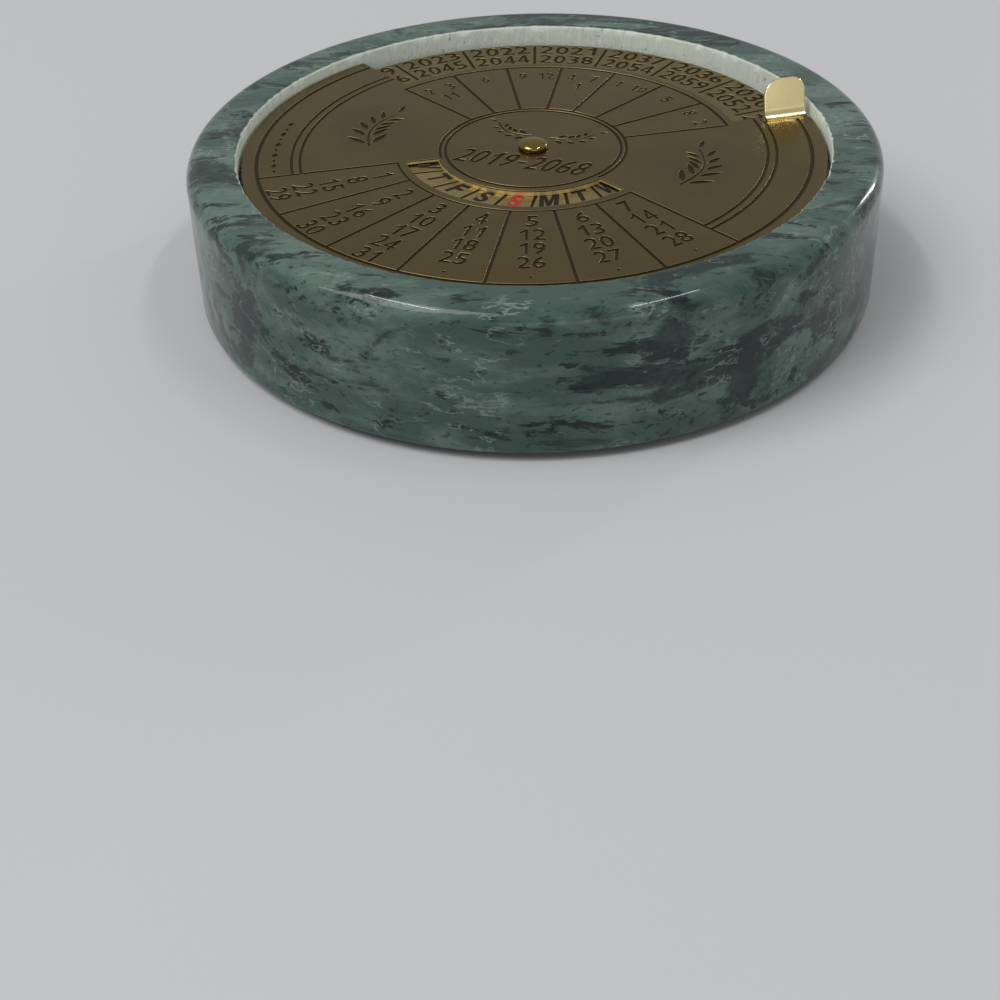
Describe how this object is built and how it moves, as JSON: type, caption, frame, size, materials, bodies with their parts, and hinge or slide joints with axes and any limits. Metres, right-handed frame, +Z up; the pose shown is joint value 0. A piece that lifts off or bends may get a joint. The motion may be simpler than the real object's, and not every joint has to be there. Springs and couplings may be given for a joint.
{
  "type": "perpetual desk calendar",
  "caption": "Polished green marble puck with a brass perpetual calendar dial let into its top; the upper disc turns on a central rivet by a small thumb tab.",
  "frame": {"origin": "centre of the underside of the felt pad, on the surface that the calendar stands on", "axes": "+Z up along the rivet; -Y towards the reader, +X to the reader's right"},
  "size_m": [0.08, 0.08, 0.0207],
  "materials": {
    "green_marble": "polished",
    "felt": "matt",
    "foam": "matt",
    "antique_brass": "satin",
    "bright_brass": "satin",
    "polished_brass": "polished"
  },
  "bodies": {
    "stand": {"marble_body": "green_marble", "felt_pad": "felt", "adhesive_pad": "foam", "year_disc": "bright_brass", "spacer_washer": "bright_brass", "pivot_rivet": "polished_brass", "tail_washer": "bright_brass"},
    "dial": {"date_plate": "antique_brass"}
  },
  "joints": [
    {"name": "dial_turn", "type": "hinge", "parent": "stand", "child": "dial", "pos_m": [0, 0, 0.0161], "axis": [0, 0, 1], "continuous": true}
  ]
}
